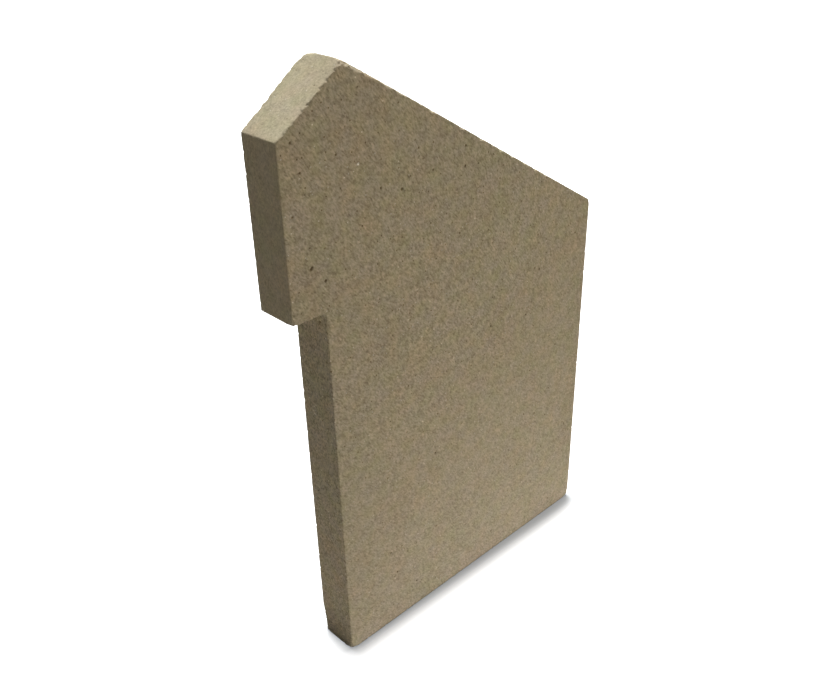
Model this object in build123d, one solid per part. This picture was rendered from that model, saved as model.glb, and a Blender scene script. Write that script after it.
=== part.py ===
"""Stove side brick: one flat slab of fired clay that lines a side wall of a stove's firebox.

It stands on its foot. The top falls from a peak near the front down to the rear, and the stove's
baffle plate lies on that slope. The upper front corner is bevelled off, and below the head the
foot is set back by a rebate that clears the stove's front frame.

Frame: X runs from the stove's front to its rear, Y through the thickness, Z up.
Origin: the middle of the overall box, on the plane that the foot stands on.
"""

import os

from build123d import *

# Driving dimensions, in millimetres
THICKNESS = 25.0  # from the fire face to the wall face
LENGTH = 225.0  # from the front edge of the head to the rear edge
PEAK_HEIGHT = 340.0  # from the foot to the peak
REAR_HEIGHT = 225.0  # from the foot to the low end of the baffle slope
BEVEL_RUN = 38.0  # how far the peak lies behind the front edge
BEVEL_DROP = 28.0  # how far the front edge stops below the peak
REBATE_DEPTH = 20.0  # how far the foot is set back from the front edge
REBATE_HEIGHT = 225.0  # from the foot to the ledge under the head
REBATE_CORNER_RADIUS = 3.0  # the rebate's inner corner
ARRIS_RADIUS = 0.5  # the softened outer edges

# Places that follow from them
FRONT = -LENGTH / 2
REAR = LENGTH / 2
FOOT_FRONT = FRONT + REBATE_DEPTH
PEAK = FRONT + BEVEL_RUN
FRONT_HEIGHT = PEAK_HEIGHT - BEVEL_DROP
REBATE_CORNER = (FOOT_FRONT, REBATE_HEIGHT)


def side_view():
    """The outline of the brick as its fire face shows it, with the rebate's corner rounded."""
    outline = make_face(
        Polyline(
            (FOOT_FRONT, 0),
            (REAR, 0),
            (REAR, REAR_HEIGHT),
            (PEAK, PEAK_HEIGHT),
            (FRONT, FRONT_HEIGHT),
            (FRONT, REBATE_HEIGHT),
            REBATE_CORNER,
            close=True,
        )
    )
    corner = outline.vertices().sort_by_distance(REBATE_CORNER)[0]
    return fillet(corner, REBATE_CORNER_RADIUS)


def outer_arrises(slab):
    """Every edge of the slab but the two smooth seams where the rebate's rounded corner begins and ends."""
    corner_middle = (FOOT_FRONT, 0, REBATE_HEIGHT)
    smooth_seams = slab.edges().filter_by(Axis.Y).sort_by_distance(corner_middle)[:2]
    return [edge for edge in slab.edges() if edge not in smooth_seams]


def side_brick():
    """The outline given its thickness, with its outer arrises softened."""
    slab = extrude(Plane.XZ * side_view(), amount=THICKNESS / 2, both=True)
    return fillet(outer_arrises(slab), ARRIS_RADIUS)


os.makedirs("parts", exist_ok=True)
export_step(side_brick(), "parts/side_brick.step")
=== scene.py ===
"""Stove side brick: the looks of one slab of fired clay that stands on its foot.

The clay is fine, sandy and matt, a dull olive tan with pinholes and a few pale grains, and the pits and
pinholes are darkened with painted shade. Its arrises are nicked, the ridge of the peak is broken at both
ends, and the foot's front corner is worn off.
"""

import math
import random
from collections import namedtuple

import bmesh
import bpy
import numpy as np
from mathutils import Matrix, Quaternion, Vector, kdtree, noise


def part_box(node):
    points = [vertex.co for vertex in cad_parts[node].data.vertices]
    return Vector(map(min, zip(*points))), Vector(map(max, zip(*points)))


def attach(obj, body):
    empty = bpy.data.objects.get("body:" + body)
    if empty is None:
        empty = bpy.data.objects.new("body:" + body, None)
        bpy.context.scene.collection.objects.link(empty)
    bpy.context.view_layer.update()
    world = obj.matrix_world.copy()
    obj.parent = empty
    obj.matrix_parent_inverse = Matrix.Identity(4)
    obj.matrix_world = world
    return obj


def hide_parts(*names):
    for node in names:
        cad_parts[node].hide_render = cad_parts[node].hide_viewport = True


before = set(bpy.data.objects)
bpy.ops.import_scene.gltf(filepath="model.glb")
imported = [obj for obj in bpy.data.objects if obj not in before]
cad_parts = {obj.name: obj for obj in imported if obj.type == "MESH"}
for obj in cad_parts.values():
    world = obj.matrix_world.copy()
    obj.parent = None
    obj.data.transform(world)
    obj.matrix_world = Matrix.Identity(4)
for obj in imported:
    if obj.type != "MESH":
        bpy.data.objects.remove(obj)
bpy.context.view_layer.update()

MM = 0.001

# The brick's place, from the frame. X runs from the stove's front to its rear, and -Y out of the fire face
LOW, HIGH = (Vector(corner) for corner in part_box("side_brick"))
FRONT, FIRE_FACE, FOOT = LOW
REAR, WALL_FACE = HIGH.x, HIGH.y
THICKNESS = WALL_FACE - FIRE_FACE

# The brick's driving sizes, as its solid has them
PEAK_HEIGHT = 340 * MM
REAR_HEIGHT = 225 * MM
BEVEL_RUN = 38 * MM
BEVEL_DROP = 28 * MM
REBATE_DEPTH = 20 * MM
REBATE_HEIGHT = 225 * MM
REBATE_CORNER_RADIUS = 3 * MM
ARRIS_RADIUS = 0.5 * MM

# The corners of the outline, as X and Z
FOOT_FRONT = (FRONT + REBATE_DEPTH, FOOT)
FOOT_REAR = (REAR, FOOT)
REAR_TOP = (REAR, REAR_HEIGHT)
PEAK = (FRONT + BEVEL_RUN, PEAK_HEIGHT)
FRONT_TOP = (FRONT, PEAK_HEIGHT - BEVEL_DROP)
LEDGE_FRONT = (FRONT, REBATE_HEIGHT)
REBATE_CORNER = (FRONT + REBATE_DEPTH, REBATE_HEIGHT)
OUTLINE = (FOOT_FRONT, FOOT_REAR, REAR_TOP, PEAK, FRONT_TOP, LEDGE_FRONT, REBATE_CORNER)

# How finely the skin is divided
CELL = 2.2 * MM
WHOLE_CELL = 0.8  # the least share of a full cell's area that can take a scattered pit
ARRIS_ROWS = (1.0 * MM, 1.6 * MM, 2.4 * MM, 3.4 * MM)  # rows of cells beside an arris, from its sharp line
ARRIS_BAND = 3.0 * MM  # the cells nearer to an arris than this are divided along it too
ARRIS_STEPS = 3
ROUND_STEPS = 3  # across a rounded arris
REBATE_CORNER_STEPS = 6
SHARP_ANGLE = math.radians(25)
PARALLEL = 0.95  # two lines run the same way where the cosine between them is larger than this
SMALLEST_SIDE = 400 * MM * MM  # only the strips of the rebate's rounded corner are smaller than this
SHORTEST_EDGE = 0.2 * MM
CUT_TOLERANCE = 0.001 * MM

# Spots in the skin: the clearest pits have their own X, Z and radius in mm, and the others are scattered
SPOT_SEED = 5
SPOT_STEPS = 5
SPOT_FADE = 1.6  # how much steeper than its shape a spot's colour fades out
PITS_SCATTERED = 140
PIT_RADIUS = (0.40 * MM, 0.80 * MM)
PIT_DEPTH = 0.8  # of the pit's radius
CLEAR_PITS = (
    (-41.3, 273.0, 1.05),
    (-91.3, 241.6, 0.9),
    (-98.6, 250.7, 0.85),
    (-99.2, 249.9, 0.95),
    (3.0, 273.5, 0.85),
    (-54.7, 277.1, 0.85),
    (-20.0, 277.2, 0.75),
    (-101.0, 296.2, 0.7),
)
PALE_GRAIN = (-68.1, 292.1)
PALE_GRAIN_RADIUS = 0.8 * MM
PALE_GRAIN_HEIGHT = 0.05 * MM

# Wear on the arrises: how far the clay is gone from the sharp line, along the faces beside it
RUBBED = 0.2 * MM
NICK_WIDTH = 0.9 * MM
NICK_LENGTH = 2.0 * MM
NICK_LEVELS = (0.15, 0.45)  # of the noise that places the nicks
CHIP_WIDTH = 0.8 * MM
CHIP_LENGTH = 6 * MM
CHIP_LEVELS = (0.5, 0.85)  # of the noise that places the chips
CORNER_RUBBED = 0.6 * MM
CORNER_DEPTH = 0.9  # of the width that is gone at a corner
RAGGED = 0.5  # how much a break's width varies
RAGGED_LENGTH = 1.3 * MM
WEAR_REACH = 6 * MM
FRESH_DEPTH = 0.9 * MM  # clay worn this deep shows its paler inside

# No face is quite flat
SWELL_DEPTH = 0.08 * MM
SWELL_LENGTH = 30 * MM
GRIT_DEPTH = 0.05 * MM
GRIT_LENGTH = 2.6 * MM

# How strongly the sand shows, against the fire face's upper part
HEAD_FRONT_SAND = 0.6
FOOT_FRONT_SAND = 1.15
LOWER_REAR_SAND = 0.8
LOWER_REAR_REACH = (170 * MM, 250 * MM)  # from the peak
FRONT_TURN = -0.3  # the front faces look further to the front than this
SIDE_TURN = 0.5  # the fire face and the wall face look further along Y than this

Arris = namedtuple("Arris", "start along length out bite")
Corner = namedtuple("Corner", "place out")
Break = namedtuple("Break", "place reach width along", defaults=(None,))
Spot = namedtuple("Spot", "place out radius depth")


def on_fire_face(corner):
    return Vector((corner[0], FIRE_FACE, corner[1]))


def on_wall_face(corner):
    return Vector((corner[0], WALL_FACE, corner[1]))


def breaks_along(start, way, rows):
    """Breaks in one arris, at places measured from one end of it."""
    return [
        Break(start + from_start * MM * way, reach * MM, width * MM, way)
        for from_start, reach, width in rows
    ]


SLOPE = (on_fire_face(REAR_TOP) - on_fire_face(PEAK)).normalized()
BEVEL = (on_fire_face(PEAK) - on_fire_face(FRONT_TOP)).normalized()
UP = Vector((0, 0, 1))

# Breaks in the slope's fire face arris, in mm: how far down from the peak, and each one's reach and width
SLOPE_BREAKS = (
    (9, 8, 1.6),
    (17, 6, 1.2),
    (24, 5, 1.0),
    (31, 5, 1.2),
    (41, 6, 1.0),
    (64, 2.5, 1.4),
    (88, 3, 1.4),
    (105, 3, 1.8),
    (123, 2.5, 1.6),
    (134, 2.5, 1.6),
    (146, 2, 1.5),
    (157, 2.5, 1.4),
    (168, 2, 1.3),
)

# The bevel's dish beside the fire face: its depth, its reach, and where along the bevel it starts and ends
DISH_DEPTH = 0.75 * MM
DISH_REACH = 7 * MM
DISH_RISE = (0, 18 * MM)
DISH_FALL = (42 * MM, 54 * MM)

# Breaks in the bevel's arrises, in mm: how far up from the front, and each one's reach and width
BEVEL_FIRE_BREAKS = (
    (5, 1.6, 1.4),
    (11.5, 1.5, 1.4),
    (18, 1.3, 1.0),
    (22, 1.3, 1.75),
    (31, 1.6, 1.05),
    (36, 1.8, 1.15),
    (41.5, 1.6, 1.05),
)
BEVEL_WALL_BREAKS = ((12.7, 3.5, 1.3), (18.4, 2.5, 1.2))

# Where more clay is gone than by common wear. A break with a way along takes only arrises that run that way
BREAKS = [
    Break(on_fire_face(PEAK) + 2.5 * MM * SLOPE, 5.5 * MM, 2.2 * MM),
    Break(on_wall_face(PEAK), 8 * MM, 2.3 * MM),
    Break(on_fire_face(LEDGE_FRONT), 5 * MM, 1.2 * MM),
    Break(on_fire_face(FOOT_FRONT), 5.5 * MM, 2.0 * MM),
    Break(on_fire_face(FOOT_REAR), 6 * MM, 1.8 * MM),
    Break(on_fire_face(REAR_TOP), 3 * MM, 0.9 * MM),
    Break(on_wall_face(FOOT_FRONT), 22 * MM, 2.6 * MM, UP),
]
BREAKS += breaks_along(on_fire_face(PEAK), SLOPE, SLOPE_BREAKS)
BREAKS += breaks_along(on_fire_face(FRONT_TOP), BEVEL, BEVEL_FIRE_BREAKS)
BREAKS += breaks_along(on_wall_face(FRONT_TOP), BEVEL, BEVEL_WALL_BREAKS)


def settled(bm):
    """The same skin with its parts in a fixed order, so that each run divides it in the same way."""
    bm.verts.index_update()
    rings = []
    for face in bm.faces:
        ring = [vertex.index for vertex in face.verts]
        first = ring.index(min(ring))
        rings.append(ring[first:] + ring[:first])
    made = bmesh.new()
    corners = [made.verts.new(vertex.co) for vertex in bm.verts]
    for ring in sorted(rings):
        made.faces.new([corners[number] for number in ring])
    made.normal_update()
    bm.free()
    return made


def sharp_blank():
    """The outline given its thickness, with only the rebate's inner corner rounded."""
    bm = bmesh.new()
    bm.faces.new([bm.verts.new((x, FIRE_FACE, z)) for x, z in OUTLINE])
    bm.verts.ensure_lookup_table()
    bmesh.ops.bevel(
        bm,
        geom=[bm.verts[OUTLINE.index(REBATE_CORNER)]],
        offset=REBATE_CORNER_RADIUS,
        affect="VERTICES",
        segments=REBATE_CORNER_STEPS,
        profile=0.5,
        material=-1,
    )
    made = bmesh.ops.extrude_face_region(bm, geom=bm.faces[:])
    far_side = [part for part in made["geom"] if isinstance(part, bmesh.types.BMVert)]
    bmesh.ops.translate(bm, verts=far_side, vec=(0, THICKNESS, 0))
    bmesh.ops.recalc_face_normals(bm, faces=bm.faces)
    return settled(bm)


def sharp_edges(bm):
    return [edge for edge in bm.edges if edge.is_convex and edge.calc_face_angle() > SHARP_ANGLE]


def way_out(faces):
    return sum((face.normal for face in faces), Vector()).normalized()


def arrises_of(bm):
    """Each outer edge of the sharp blank. Its bite is its depth of wear for each millimetre of width."""
    found = []
    for edge in sharp_edges(bm):
        start, end = (vertex.co.copy() for vertex in edge.verts)
        run = end - start
        bite = math.sin(edge.calc_face_angle() / 2)
        found.append(Arris(start, run.normalized(), run.length, way_out(edge.link_faces), bite))
    return found


def corners_of(bm):
    """Each outer corner of the sharp blank, with the way out from it."""
    return [
        Corner(vertex.co.copy(), way_out(vertex.link_faces))
        for vertex in bm.verts
        if all(edge.is_convex and edge.calc_face_angle() > SHARP_ANGLE for edge in vertex.link_edges)
    ]


def sides_of(bm):
    """A point on each side of the sharp blank and the way out from it."""
    return [
        (face.calc_center_median(), face.normal.copy())
        for face in bm.faces
        if face.calc_area() > SMALLEST_SIDE
    ]


def everything(bm):
    return bm.verts[:] + bm.edges[:] + bm.faces[:]


def cut(bm, parts, point, normal):
    """Cuts these parts of the blank along a plane and returns their pieces."""
    return bmesh.ops.bisect_plane(bm, geom=parts, dist=CUT_TOLERANCE, plane_co=point, plane_no=normal)["geom"]


def spaced(low, high, step):
    """Evenly spaced places between two ends, about a step apart."""
    count = round((high - low) / step)
    return [low + (high - low) * place / count for place in range(1, count)]


def above(pieces, height):
    """The faces that lie above a height, with their edges and corners."""
    faces = [
        piece
        for piece in pieces
        if isinstance(piece, bmesh.types.BMFace) and piece.calc_center_median().z > height
    ]
    edges = dict.fromkeys(edge for face in faces for edge in face.edges)
    corners = dict.fromkeys(vertex for face in faces for vertex in face.verts)
    return faces + list(edges) + list(corners)


def divide_skin(bm, sides):
    """Cuts the blank's skin into small cells, with closer rows beside the arrises."""
    for inset in ARRIS_ROWS:
        for point, out in sides:
            cut(bm, everything(bm), point - inset * out, out)
    for y in spaced(FIRE_FACE, WALL_FACE, CELL):
        cut(bm, everything(bm), (0, y, 0), (0, 1, 0))
    for x in spaced(FRONT, REAR, CELL):
        cut(bm, everything(bm), (x, 0, 0), (1, 0, 0))
    upper = everything(bm)
    for z in spaced(FOOT, PEAK_HEIGHT, CELL):
        upper = above(cut(bm, upper, (0, 0, z), (0, 0, 1)), z)
    bmesh.ops.remove_doubles(bm, verts=bm.verts, dist=SHORTEST_EDGE)


def beside(arris, places):
    """For each place: how far along an arris it lies and how far it is from the arris's line."""
    from_start = places - np.array(arris.start)
    along = from_start @ np.array(arris.along)
    off = np.linalg.norm(from_start - along[:, None] * np.array(arris.along), axis=1)
    return along, off


def divide_arrises(bm, arrises):
    """Divides the cells beside each arris along it, so that small nicks have points to follow."""
    edges = bm.edges[:]
    ends = np.array([[vertex.co for vertex in edge.verts] for edge in edges])
    runs = ends[:, 1] - ends[:, 0]
    lengths = np.linalg.norm(runs, axis=1)
    chosen = np.zeros(len(edges), bool)
    for arris in arrises:
        along, off = beside(arris, ends.mean(axis=1))
        within = (off < ARRIS_BAND) & (along > 0) & (along < arris.length)
        parallel = np.abs(runs @ np.array(arris.along)) > PARALLEL * lengths
        chosen |= within & parallel & (lengths > CELL / 2)
    picked = [edge for edge, pick in zip(edges, chosen) if pick]
    bmesh.ops.subdivide_edges(bm, edges=picked, cuts=ARRIS_STEPS, use_grid_fill=True)


def on_head_front(place, out):
    """Whether a place is on the head's front or on its bevel."""
    return out.x < FRONT_TURN and place.z > REBATE_HEIGHT


def divide_spots(bm):
    """Divides the cells that a pit or the pale grain reaches, and returns these spots."""
    draw = random.Random(SPOT_SEED)
    cells = [face for face in bm.faces if len(face.verts) == 4]
    centres = kdtree.KDTree(len(cells))
    for number, cell in enumerate(cells):
        centres.insert(cell.calc_center_median(), number)
    centres.balance()

    def fire_face_spot(x, z, radius, depth):
        return Spot(on_fire_face((x * MM, z * MM)), Vector((0, -1, 0)), radius, depth)

    spots = [fire_face_spot(*PALE_GRAIN, PALE_GRAIN_RADIUS, -PALE_GRAIN_HEIGHT)]
    spots += [fire_face_spot(x, z, radius * MM, PIT_DEPTH * radius * MM) for x, z, radius in CLEAR_PITS]
    whole_cells = [cell for cell in cells if cell.calc_area() > WHOLE_CELL * CELL * CELL]
    for cell in draw.sample(whole_cells, PITS_SCATTERED):
        place = cell.calc_center_median()
        radius = draw.uniform(*PIT_RADIUS)
        if not on_head_front(place, cell.normal):
            spots.append(Spot(place, cell.normal.copy(), radius, PIT_DEPTH * radius))
    near = [found for spot in spots for found in centres.find_range(spot.place, spot.radius + CELL / 2)]
    reached = dict.fromkeys(number for place, number, off in near)
    rims = dict.fromkeys(edge for number in reached for edge in cells[number].edges)
    bmesh.ops.subdivide_edges(bm, edges=list(rims), cuts=SPOT_STEPS, use_grid_fill=True)
    return spots


def eased(value, low, high):
    """0 below the low end, 1 above the high one, and smooth between."""
    share = min(max((value - low) / (high - low), 0), 1)
    return share * share * (3 - 2 * share)


def broken(place, width, along=None):
    """The width of the wear at a place of an arris, or of a corner, wider near a break."""
    ragged = 1 + RAGGED * noise.noise(place / RAGGED_LENGTH)
    for gone in BREAKS:
        share = 1 - ((place - gone.place).length / gone.reach) ** 2
        takes = gone.along is None or (along and abs(along.dot(gone.along)) > PARALLEL)
        if share > 0 and takes:
            width = max(width, gone.width * share * ragged)
    return width


def nick(place):
    return NICK_WIDTH * eased(noise.noise(place / NICK_LENGTH), *NICK_LEVELS)


def arris_wear(place, along):
    """How far the clay is gone beside an arris: rubbed, nicked, and chipped here and there."""
    chip = CHIP_WIDTH * eased(noise.noise(place / CHIP_LENGTH), *CHIP_LEVELS)
    return max(broken(place, RUBBED + chip, along), nick(place))


def corner_wear(place):
    """How deep the clay is gone at a corner."""
    return CORNER_DEPTH * max(broken(place, CORNER_RUBBED), nick(place))


def push_back(vertex, fresh, edge, out, depth):
    """Moves clay that stands out past the worn depth back to it."""
    over = depth - (edge - vertex.co).dot(out)
    if over > 0:
        vertex.co -= over * out
        vertex[fresh] = max(vertex[fresh], min(over / FRESH_DEPTH, 1))


def wear(bm, arrises, corners):
    """Rubs and chips the arrises and the corners."""
    fresh = bm.verts.layers.float.new("fresh")
    vertices = bm.verts[:]
    places = np.array([vertex.co for vertex in vertices])
    for arris in arrises:
        along, off = beside(arris, places)
        for number in np.flatnonzero((off < WEAR_REACH) & (along >= 0) & (along <= arris.length)):
            vertex = vertices[number]
            push_back(vertex, fresh, arris.start, arris.out, arris.bite * arris_wear(vertex.co, arris.along))
    for corner in corners:
        off = np.linalg.norm(places - np.array(corner.place), axis=1)
        for number in np.flatnonzero(off < WEAR_REACH):
            vertex = vertices[number]
            push_back(vertex, fresh, corner.place, corner.out, corner_wear(vertex.co))


def dish_bevel(bm):
    """Takes the bevel down a little along its fire face arris."""
    out = BEVEL.cross(Vector((0, 1, 0)))
    for vertex in bm.verts:
        from_front = vertex.co - on_fire_face(FRONT_TOP)
        along = from_front.dot(BEVEL)
        beside_fire_face = 1 - eased(from_front.y, 0, DISH_REACH)
        near_surface = 1 - eased(-from_front.dot(out), 0, DISH_REACH)
        share = eased(along, *DISH_RISE) * (1 - eased(along, *DISH_FALL)) * beside_fire_face * near_surface
        vertex.co -= DISH_DEPTH * share * out


def press_spots(bm, spots):
    """Presses each pit into the skin and marks where its painted shade goes, and raises and marks the pale
    grain.
    """
    pit = bm.verts.layers.float.new("pit")
    grain = bm.verts.layers.float.new("grain")
    centres = kdtree.KDTree(len(spots))
    for number, spot in enumerate(spots):
        centres.insert(spot.place, number)
    centres.balance()
    for vertex in bm.verts:
        number, off = centres.find(vertex.co)[1:]
        spot = spots[number]
        share = 1 - (off / spot.radius) ** 2
        if share > 0:
            vertex.co -= spot.depth * share * spot.out
            # The pit mark also sets how much painted shade the clay's colour gets in each pit
            vertex[pit if spot.depth > 0 else grain] = min(SPOT_FADE * share, 1)


def mark_sand(bm):
    """Marks how strongly the sand shows on each face."""
    sand = bm.verts.layers.float.new("sand")
    for vertex in bm.verts:
        vertex[sand] = 1
        if on_head_front(vertex.co, vertex.normal):
            vertex[sand] = HEAD_FRONT_SAND
        elif vertex.normal.x < FRONT_TURN:
            vertex[sand] = FOOT_FRONT_SAND
        elif abs(vertex.normal.y) > SIDE_TURN:
            from_peak = math.dist((vertex.co.x, vertex.co.z), PEAK)
            vertex[sand] += (LOWER_REAR_SAND - 1) * eased(from_peak, *LOWER_REAR_REACH)


def uneven(place, length):
    """Smooth noise from 0 to 1."""
    return (1 + noise.noise(place / length)) / 2


def roughen(bm):
    """Takes a little off the skin everywhere, so that no face is quite flat."""
    for vertex in bm.verts:
        swell = SWELL_DEPTH * uneven(vertex.co, SWELL_LENGTH)
        grit = GRIT_DEPTH * uneven(vertex.co, GRIT_LENGTH)
        vertex.co -= (swell + grit) * vertex.normal


def worn_brick():
    """The brick as a worn and pitted skin, inside the solid's own faces."""
    bm = sharp_blank()
    arrises = arrises_of(bm)
    corners = corners_of(bm)
    sides = sides_of(bm)
    bmesh.ops.bevel(
        bm,
        geom=sharp_edges(bm),
        offset=ARRIS_RADIUS,
        affect="EDGES",
        segments=ROUND_STEPS,
        profile=0.5,
        material=-1,
    )
    bm = settled(bm)
    divide_skin(bm, sides)
    spots = divide_spots(bm)
    divide_arrises(bm, arrises)
    bmesh.ops.triangulate(bm, faces=[face for face in bm.faces if len(face.verts) > 4])
    bmesh.ops.recalc_face_normals(bm, faces=bm.faces)
    bm.normal_update()
    mark_sand(bm)
    roughen(bm)
    wear(bm, arrises, corners)
    dish_bevel(bm)
    press_spots(bm, spots)
    for face in bm.faces:
        face.smooth = True
    mesh = bpy.data.meshes.new("worn_brick")
    bm.to_mesh(mesh)
    bm.free()
    piece = bpy.data.objects.new("worn_brick", mesh)
    bpy.context.scene.collection.objects.link(piece)
    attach(piece, "root")
    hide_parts("side_brick")
    return piece


# Shader nodes, written as expressions

MIX_SHARE, MIX_FIRST, MIX_SECOND, MIXED = 0, 6, 7, 2  # the sockets that a Mix node has for colours


class Value:
    """A number in a node tree. Arithmetic on it adds Math nodes."""

    def __init__(self, tree, socket):
        self.tree = tree
        self.socket = socket

    def __add__(self, other):
        return self.tree.math("ADD", self, other)

    def __radd__(self, other):
        return self.tree.math("ADD", other, self)

    def __sub__(self, other):
        return self.tree.math("SUBTRACT", self, other)

    def __rsub__(self, other):
        return self.tree.math("SUBTRACT", other, self)

    def __mul__(self, other):
        return self.tree.math("MULTIPLY", self, other)

    def __rmul__(self, other):
        return self.tree.math("MULTIPLY", other, self)


class Tree:
    """The nodes of a material or of the world."""

    def __init__(self, owner):
        owner.use_nodes = True
        self.nodes = owner.node_tree.nodes
        self.links = owner.node_tree.links

    def join(self, value, socket):
        if isinstance(value, Value):
            self.links.new(value.socket, socket)
        else:
            socket.default_value = value

    def add(self, kind, settings, sockets, out=0):
        """A new node: its settings first, then its sockets. Returns one of its outputs."""
        node = self.nodes.new("ShaderNode" + kind)
        for name, value in settings.items():
            setattr(node, name, value)
        for name, value in sockets.items():
            self.join(value, node.inputs[name])
        return Value(self, node.outputs[out])

    def math(self, operation, first, second):
        return self.add("Math", {"operation": operation}, {0: first, 1: second})

    def mix(self, share, first, second):
        """A colour between two others."""
        sockets = {MIX_SHARE: share, MIX_FIRST: first, MIX_SECOND: second}
        return self.add("Mix", {"data_type": "RGBA"}, sockets, out=MIXED)

    def scale(self, colour, factor):
        """A colour made lighter or darker."""
        return self.add("VectorMath", {"operation": "SCALE"}, {0: colour, "Scale": factor})

    def ease(self, value, low, high):
        """0 at the low end, 1 at the high one, and smooth between."""
        sockets = {"Value": value, "From Min": low, "From Max": high}
        return self.add("MapRange", {"interpolation_type": "SMOOTHSTEP"}, sockets)

    def between(self, value, rise, fall):
        """1 from the end of a rise to the start of a fall, 0 outside them, and smooth between."""
        return self.ease(value, *rise) * (1 - self.ease(value, *fall))

    def finish(self, node, sockets):
        for name, value in sockets.items():
            self.join(value, self.nodes[node].inputs[name])


# Fired clay

CLAY_OLIVE = (0.410, 0.365, 0.225, 1)
CLAY_WARM = (0.455, 0.365, 0.240, 1)
CLAY_ASHY = (0.432, 0.367, 0.285, 1)
CLAY_INSIDE = (0.520, 0.450, 0.330, 1)
# Painted shade in the pits and pinholes
PAINTED_HOLE_SHADE = (0.118, 0.082, 0.036, 1)
CLAY_PALE = (0.95, 0.91, 0.78, 1)

# The sand lies dragged down and to the rear: the turn about Y that its long axis has, and its stretch
DRAG_TURN = math.radians(49.5)
DRAG_STRETCH = (1.7, 1.0, 0.85)

# Patches: how far each kind swings, and its size
Patches = namedtuple("Patches", "swing size")
HUE_PATCHES = Patches(2.2, 12 * MM)
WIDE_HUE_PATCHES = Patches(1.4, 28 * MM)
ASH_PATCHES = Patches(1.5, 8.5 * MM)
COARSE_PATCHES = Patches(0.4, 4 * MM)
CLOUDS = Patches(0.15, 40 * MM)
SAND_PATCHES = Patches(1.2, 1.1 * MM)
SAND_GRAINS = Patches(0.35, 0.9 * MM)
SAND_DETAIL = 2.0
SAND_ROUGHNESS = 0.6
NOISE_MIDDLE = 0.5

# Specks in some cells of a honeycomb: the cells' spacing, the radius, the share of cells and the strength
Specks = namedtuple("Specks", "spacing radius share strength")
# The pinholes' strength is how dark their painted shade is
PINHOLES = Specks(4 * MM, 0.55 * MM, 0.5, 0.8)
PALE_SPECKS = Specks(3.1 * MM, 0.45 * MM, 0.4, 0.45)
SPECK_CORE = 0.6  # of a speck's radius

# How much of each clay shows
WARM_SHARE = 0.5
ASHY_SHARE = 0.3
FRESH_STRENGTH = 0.45
# How dark the painted shade in the pits is
PIT_SHADE_STRENGTH = 0.8

# The skin's finish
RELIEF_STRENGTH = 0.6
RELIEF_HEIGHT = 0.15 * MM
CLAY_ROUGHNESS = 0.94
CLAY_GLOSS = 0.25


def fired_clay():
    """Fine sandy clay: soft mottling, dragged sand, pinholes and pale grains, paler where it is worn, and
    painted shade in the pinholes and pits.
    """
    material = bpy.data.materials.new("fired_clay")
    clay = Tree(material)
    place = clay.add("TexCoord", {}, {}, out="Object")
    dragged = clay.add(
        "Mapping",
        {"vector_type": "TEXTURE"},
        {"Vector": place, "Rotation": (0, DRAG_TURN, 0), "Scale": DRAG_STRETCH},
    )

    def mottle(patches, detail=1.0, roughness=0.5, at=place):
        """Soft patches that swing about 0."""
        sockets = {"Vector": at, "Scale": 1 / patches.size, "Detail": detail, "Roughness": roughness}
        return patches.swing * (clay.add("TexNoise", {}, sockets) - NOISE_MIDDLE)

    def grains(spacing, out, at=place):
        return clay.add("TexVoronoi", {}, {"Vector": at, "Scale": 1 / spacing}, out=out)

    def lot(spacing, at=place):
        """A number drawn for each cell of a 3-D honeycomb, from 0 to 1."""
        return clay.add("SeparateColor", {}, {"Color": grains(spacing, "Color", at)})

    def specks(kind):
        """Round grains of one size, in some of the cells of a 3-D honeycomb."""
        rim = kind.radius / kind.spacing
        near = 1 - clay.ease(grains(kind.spacing, "Distance"), SPECK_CORE * rim, rim)
        return near * clay.math("LESS_THAN", lot(kind.spacing), kind.share)

    def painted(name):
        return clay.add("Attribute", {"attribute_name": name}, {}, out="Fac")

    rough = painted("sand")
    warm = WARM_SHARE + mottle(HUE_PATCHES) + mottle(WIDE_HUE_PATCHES)
    ashy = ASHY_SHARE + rough * mottle(ASH_PATCHES)
    sand = SAND_GRAINS.swing * (lot(SAND_GRAINS.size, dragged) - NOISE_MIDDLE)
    sand = sand + mottle(SAND_PATCHES, SAND_DETAIL, SAND_ROUGHNESS, dragged)
    pinholes = rough * specks(PINHOLES)
    pale = rough * specks(PALE_SPECKS)

    colour = clay.mix(warm, CLAY_OLIVE, CLAY_WARM)
    colour = clay.mix(ashy, colour, CLAY_ASHY)
    colour = clay.mix(FRESH_STRENGTH * painted("fresh"), colour, CLAY_INSIDE)
    colour = clay.mix(PALE_SPECKS.strength * pale, colour, CLAY_PALE)
    # Painted shade: the pinholes and the pits are darkened, standing in for the shade in these hollows
    colour = clay.mix(PINHOLES.strength * pinholes, colour, PAINTED_HOLE_SHADE)
    colour = clay.mix(PIT_SHADE_STRENGTH * painted("pit"), colour, PAINTED_HOLE_SHADE)
    colour = clay.mix(painted("grain"), colour, CLAY_PALE)
    tone = 1 + rough * (sand + mottle(COARSE_PATCHES)) + mottle(CLOUDS)
    relief = rough * sand - pinholes
    bump_sockets = {"Strength": RELIEF_STRENGTH, "Distance": RELIEF_HEIGHT, "Height": relief}
    bump = clay.add("Bump", {}, bump_sockets)
    clay.finish(
        "Principled BSDF",
        {
            "Base Color": clay.scale(colour, tone),
            "Roughness": CLAY_ROUGHNESS,
            "Specular IOR Level": CLAY_GLOSS,
            "Normal": bump,
        },
    )
    return material


# Stage, camera and light

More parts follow.
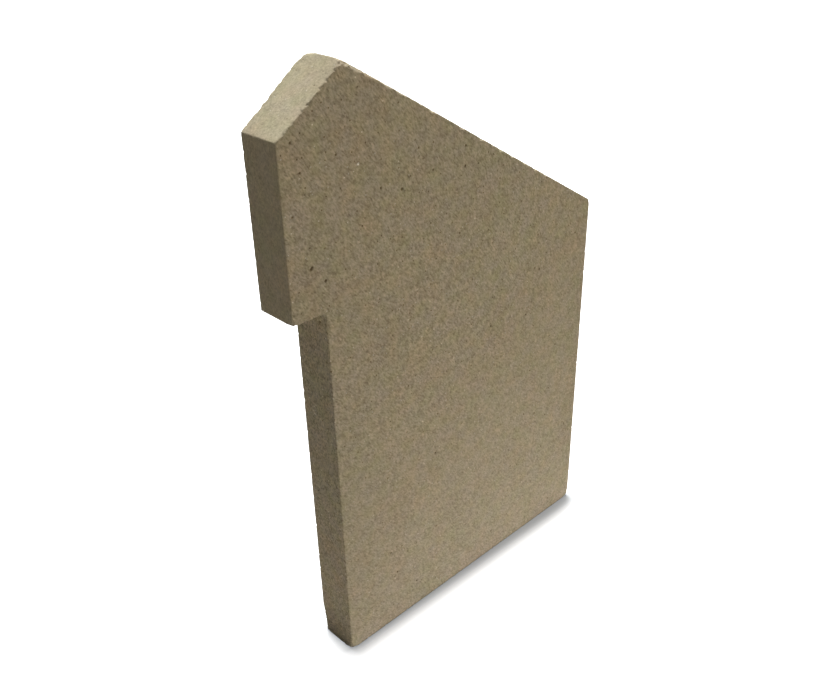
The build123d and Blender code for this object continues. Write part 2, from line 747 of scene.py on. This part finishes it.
FLOOR_HALF_SIDE = 6.0  # in metres
FLOOR_SEEN = (0.60, 0.60, 0.60, 1)
FLOOR_GLOW = (1, 1, 1, 1)
SHADOW_GLOW = (0.120, 0.138, 0.160, 1)  # painted shadow: the floor's glow is taken down close to the brick, so that the brick's real shadow shows there and fades out over the reach
SHADOW_REACH = 13.8 * MM
SHADOW_SLANT = 0.02  # how much wider it grows for each millimetre to the rear
SHADOW_FRONT = (FOOT_FRONT[0] - 13 * MM, FOOT_FRONT[0] + 7 * MM)
SHADOW_REAR = (REAR, REAR + 5 * MM)
FLOOR_BOUNCE = (0.25, 0.24, 0.22, 1)
PAINTED_SHADE_BOUNCE = (0.10, 0.09, 0.08, 1)  # painted shade: the floor bounces less light right before the foot, so that the foot's front is darker low down
PAINTED_SHADE_FRONT = (FOOT_FRONT[0] - 30 * MM, FOOT_FRONT[0])
PAINTED_SHADE_REAR = (FOOT_FRONT[0], FOOT_FRONT[0] + 5 * MM)
BLACK = (0, 0, 0, 1)
WHITE = (1, 1, 1, 1)
DAY = (0.033, 0.028, 0.022, 1)

CAMERA_AT = Vector((-0.33243, -0.32685, 0.42938))
CAMERA_AIM = Vector((-0.02513, 0, 0.17223))
CAMERA_ROLL = math.radians(-1.424)
CAMERA_LENS = 40.789  # in mm

FIRE_CARD_AT = Vector((0.02, -0.1355, 0.0003))  # a card on the floor before the fire face, that looks up
FOOT_CARD_AT = Vector((-0.1945, 0, 0.0003))  # and one before the foot

Lamp = namedtuple("Lamp", "name kind place aim size power colour")
LAMPS = (
    Lamp("overhead", "SUN", (0.12, 0.20, 1.0), (0, 0, 0), math.radians(22), 4.18, (0.96, 0.99, 1.0)),
    Lamp("skimming", "SUN", (0.70, -0.20, 1.0), (0, 0, 0), math.radians(14), 0.63, (1.0, 1.0, 1.0)),
    Lamp("fire_side", "AREA", (0.22, -0.80, 0.20), (0.02, 0, 0.15), 0.5, 1.72, (1.0, 0.905, 0.755)),
    Lamp("card_before_fire_face", "AREA", FIRE_CARD_AT, FIRE_CARD_AT + UP, 0.245, 0.151, (0.96, 0.96, 1.0)),
    Lamp("card_before_foot", "AREA", FOOT_CARD_AT, FOOT_CARD_AT + UP, 0.14, 0.035, (1.0, 0.89, 0.83)),
    Lamp("wall_side", "AREA", (0.45, 0.80, 0.40), (0, 0, 0.15), 0.6, 3.0, (1.0, 1.0, 1.0)),
)


def seen_directly(tree):
    """1 for what the camera sees, straight or in a reflection, and 0 for light on its way to the brick."""
    rays = ("Is Camera Ray", "Is Glossy Ray", "Is Transmission Ray")
    straight, glossy, through = (tree.add("LightPath", {}, {}, out=ray) for ray in rays)
    return straight + glossy + through


def pale_floor():
    bm = bmesh.new()
    bmesh.ops.create_grid(bm, x_segments=1, y_segments=1, size=FLOOR_HALF_SIDE)
    mesh = bpy.data.meshes.new("floor")
    bm.to_mesh(mesh)
    bm.free()
    material = bpy.data.materials.new("pale_floor")
    tree = Tree(material)
    seen = seen_directly(tree)
    place = tree.add("TexCoord", {}, {}, out="Object")
    along, across = (tree.add("SeparateXYZ", {}, {0: place}, out=axis) for axis in "XY")
    # Painted shadow: the glow is lower in a band close to the brick, so that only there the real shadow
    # shows, fading out over the reach
    off = tree.math("ABSOLUTE", across, 0) - SHADOW_SLANT * along
    beside_brick = 1 - tree.ease(off, WALL_FACE, WALL_FACE + SHADOW_REACH)
    close = beside_brick * tree.between(along, SHADOW_FRONT, SHADOW_REAR)
    glow = tree.mix(close, FLOOR_GLOW, SHADOW_GLOW)
    # Painted shade: the light that the floor bounces is dimmer right before the foot
    bounce = tree.mix(tree.between(along, PAINTED_SHADE_FRONT, PAINTED_SHADE_REAR), FLOOR_BOUNCE, PAINTED_SHADE_BOUNCE)
    tree.finish(
        "Principled BSDF",
        {
            "Base Color": tree.mix(seen, bounce, FLOOR_SEEN),
            "Emission Color": tree.mix(seen, BLACK, glow),
            "Emission Strength": 1,
            "Roughness": 1,
            "Specular IOR Level": 0,
        },
    )
    mesh.materials.append(material)
    floor = bpy.data.objects.new("floor", mesh)
    bpy.context.scene.collection.objects.link(floor)


def white_surroundings():
    world = bpy.data.worlds.new("surroundings")
    tree = Tree(world)
    tree.finish("Background", {"Color": tree.mix(seen_directly(tree), DAY, WHITE), "Strength": 1})
    bpy.context.scene.world = world


def aimed(obj, place, aim):
    """Puts a lamp or camera at a place, looking at its aim."""
    obj.location = place
    obj.rotation_mode = "QUATERNION"
    obj.rotation_quaternion = (Vector(aim) - Vector(place)).to_track_quat("-Z", "Y")
    bpy.context.scene.collection.objects.link(obj)
    return obj


def studio_lamps():
    for lamp in LAMPS:
        data = bpy.data.lights.new(lamp.name, lamp.kind)
        data.energy = lamp.power
        data.color = lamp.colour
        if lamp.kind == "SUN":
            data.angle = lamp.size
        else:
            data.size = lamp.size
        aimed(bpy.data.objects.new(lamp.name, data), lamp.place, lamp.aim)


def camera():
    data = bpy.data.cameras.new("camera")
    data.lens = CAMERA_LENS
    made = aimed(bpy.data.objects.new("camera", data), CAMERA_AT, CAMERA_AIM)
    made.rotation_quaternion @= Quaternion((0, 0, 1), CAMERA_ROLL)
    bpy.context.scene.camera = made


camera()
white_surroundings()
pale_floor()
studio_lamps()
worn_brick().data.materials.append(fired_clay())
bpy.context.scene.view_settings.view_transform = "Standard"
